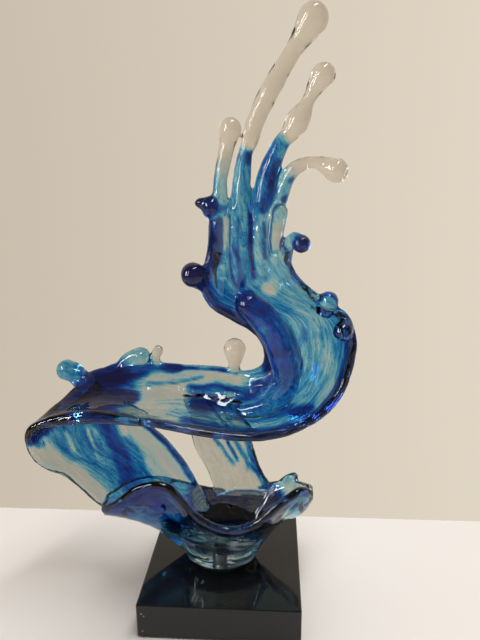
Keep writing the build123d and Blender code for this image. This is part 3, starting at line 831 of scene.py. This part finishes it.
# Table
# A table covered with white paper. Its back edge is a little way behind the sculpture.
TABLE_WIDTH = 3
TABLE_FRONT = -2
TABLE_BACK = 0.12
bpy.ops.object.select_all(action="DESELECT")
bpy.ops.mesh.primitive_plane_add(size=1, location=(0, 0, 0))
table = bpy.context.object
table.name = "table"
for corner in table.data.vertices:
    corner.co = Vector((corner.co.x * TABLE_WIDTH, TABLE_BACK if corner.co.y > 0 else TABLE_FRONT, 0))
paper = bpy.data.materials.new("white_paper")
paper.use_nodes = True
shader = paper.node_tree.nodes["Principled BSDF"]
shader.inputs["Base Color"].default_value = (0.78, 0.74, 0.71, 1)
shader.inputs["Roughness"].default_value = 0.6
table.data.materials.append(paper)

# Room
# Cream walls with painted shade, darker to the left than to the right. They are bright to the camera, and
# through the glass at the front and the back. The object is lit by, and reflects, a room that is dimmer but
# for its back.
ROOM_LIGHT = ((0, 0.36), (0.2, 0.26), (0.36, 0.2), (0.56, 0.2), (0.74, 1))
world = bpy.data.worlds.new("cream_room")
bpy.context.scene.world = world
world.use_nodes = True
nodes, links = world.node_tree.nodes, world.node_tree.links
facing = nodes.new("ShaderNodeTexCoord")
parts = nodes.new("ShaderNodeSeparateXYZ")
links.new(facing.outputs["Generated"], parts.inputs["Vector"])
# The walls' cream, with painted shade that darkens it towards the left
shade_sweep = nodes.new("ShaderNodeMapRange")
shade_sweep.inputs["From Min"].default_value = -0.5
shade_sweep.inputs["From Max"].default_value = 0.4
links.new(parts.outputs["X"], shade_sweep.inputs["Value"])
wall = nodes.new("ShaderNodeValToRGB")
wall.color_ramp.elements[0].color = (0.58, 0.51, 0.41, 1)
wall.color_ramp.elements[1].color = (0.76, 0.68, 0.56, 1)
links.new(shade_sweep.outputs["Result"], wall.inputs["Fac"])
links.new(wall.outputs["Color"], nodes["Background"].inputs["Color"])
ahead = nodes.new("ShaderNodeMapRange")
ahead.inputs["From Min"].default_value = -1
links.new(parts.outputs["Y"], ahead.inputs["Value"])
dimming = nodes.new("ShaderNodeValToRGB")
for position, light in ROOM_LIGHT[1:-1]:
    dimming.color_ramp.elements.new(position)
for stop, (position, light) in zip(dimming.color_ramp.elements, ROOM_LIGHT):
    stop.position = position
    stop.color = (light, light, light, 1)
links.new(ahead.outputs["Result"], dimming.inputs["Fac"])
seen = nodes.new("ShaderNodeLightPath")
brightest = nodes.new("ShaderNodeMath")
brightest.operation = "MAXIMUM"
links.new(dimming.outputs["Color"], brightest.inputs[0])
links.new(seen.outputs["Is Camera Ray"], brightest.inputs[1])
either_way = nodes.new("ShaderNodeMath")
either_way.operation = "ABSOLUTE"
links.new(parts.outputs["Y"], either_way.inputs[0])
beyond = nodes.new("ShaderNodeMapRange")
beyond.inputs["From Min"].default_value = 0.12
beyond.inputs["From Max"].default_value = 0.48
beyond.inputs["To Min"].default_value = 0.2
links.new(either_way.outputs["Value"], beyond.inputs["Value"])
through = nodes.new("ShaderNodeMath")
through.operation = "MULTIPLY"
links.new(beyond.outputs["Result"], through.inputs[0])
links.new(seen.outputs["Is Transmission Ray"], through.inputs[1])
strongest = nodes.new("ShaderNodeMath")
strongest.operation = "MAXIMUM"
links.new(brightest.outputs["Value"], strongest.inputs[0])
links.new(through.outputs["Value"], strongest.inputs[1])
links.new(strongest.outputs["Value"], nodes["Background"].inputs["Strength"])

# Lamps
# A wide soft glow in the ceiling that the glass doesn't show, a strip beside it, and two upright strips at
# the left that only show as glints. Each has a place, a width and a length in metres and a power in watts.
LAMPS = (
    ("ceiling_strip", (0.37, -0.25, 1.9), (1.1, 0.2), 15),
    ("left_strip", (-1.2, -0.6, 0.8), (0.12, 0.9), 11),
    ("front_strip", (-0.95, -1.1, 0.8), (0.1, 0.9), 9),
    ("ceiling_glow", (0.2, 0.3, 2.2), (2.4, 2.4), 32),
)
LIT_PLACE = Vector((0, 0, 0.3))
for name, spot, size, power in LAMPS:
    lamp = bpy.data.lights.new(name, "AREA")
    lamp.shape = "RECTANGLE"
    lamp.size, lamp.size_y = size
    lamp.energy = power
    holder = bpy.data.objects.new(name, lamp)
    bpy.context.scene.collection.objects.link(holder)
    holder.location = spot
    holder.visible_glossy = holder.visible_transmission = name != "ceiling_glow"
    holder.visible_diffuse = name.startswith("ceiling")
    holder.rotation_euler = (LIT_PLACE - Vector(spot)).to_track_quat("-Z", "Y").to_euler()

# Camera
# It stands half a metre in front, above the middle and a little to the right, and looks slightly down.
camera = bpy.data.objects.new("camera", bpy.data.cameras.new("camera"))
bpy.context.scene.collection.objects.link(camera)
bpy.context.scene.camera = camera
camera.data.lens = 30.94
camera.data.sensor_width = 36
camera.data.clip_start = 0.01
turn, tip, lean = radians(3.678), radians(90 - 14.633), radians(-0.523)
camera.matrix_world = (
    Matrix.Translation((0.04862, -0.48481, 0.41048))
    @ Matrix.Rotation(turn, 4, "Z")
    @ Matrix.Rotation(tip, 4, "X")
    @ Matrix.Rotation(lean, 4, "Z")
)
bpy.context.scene.view_settings.view_transform = "Standard"
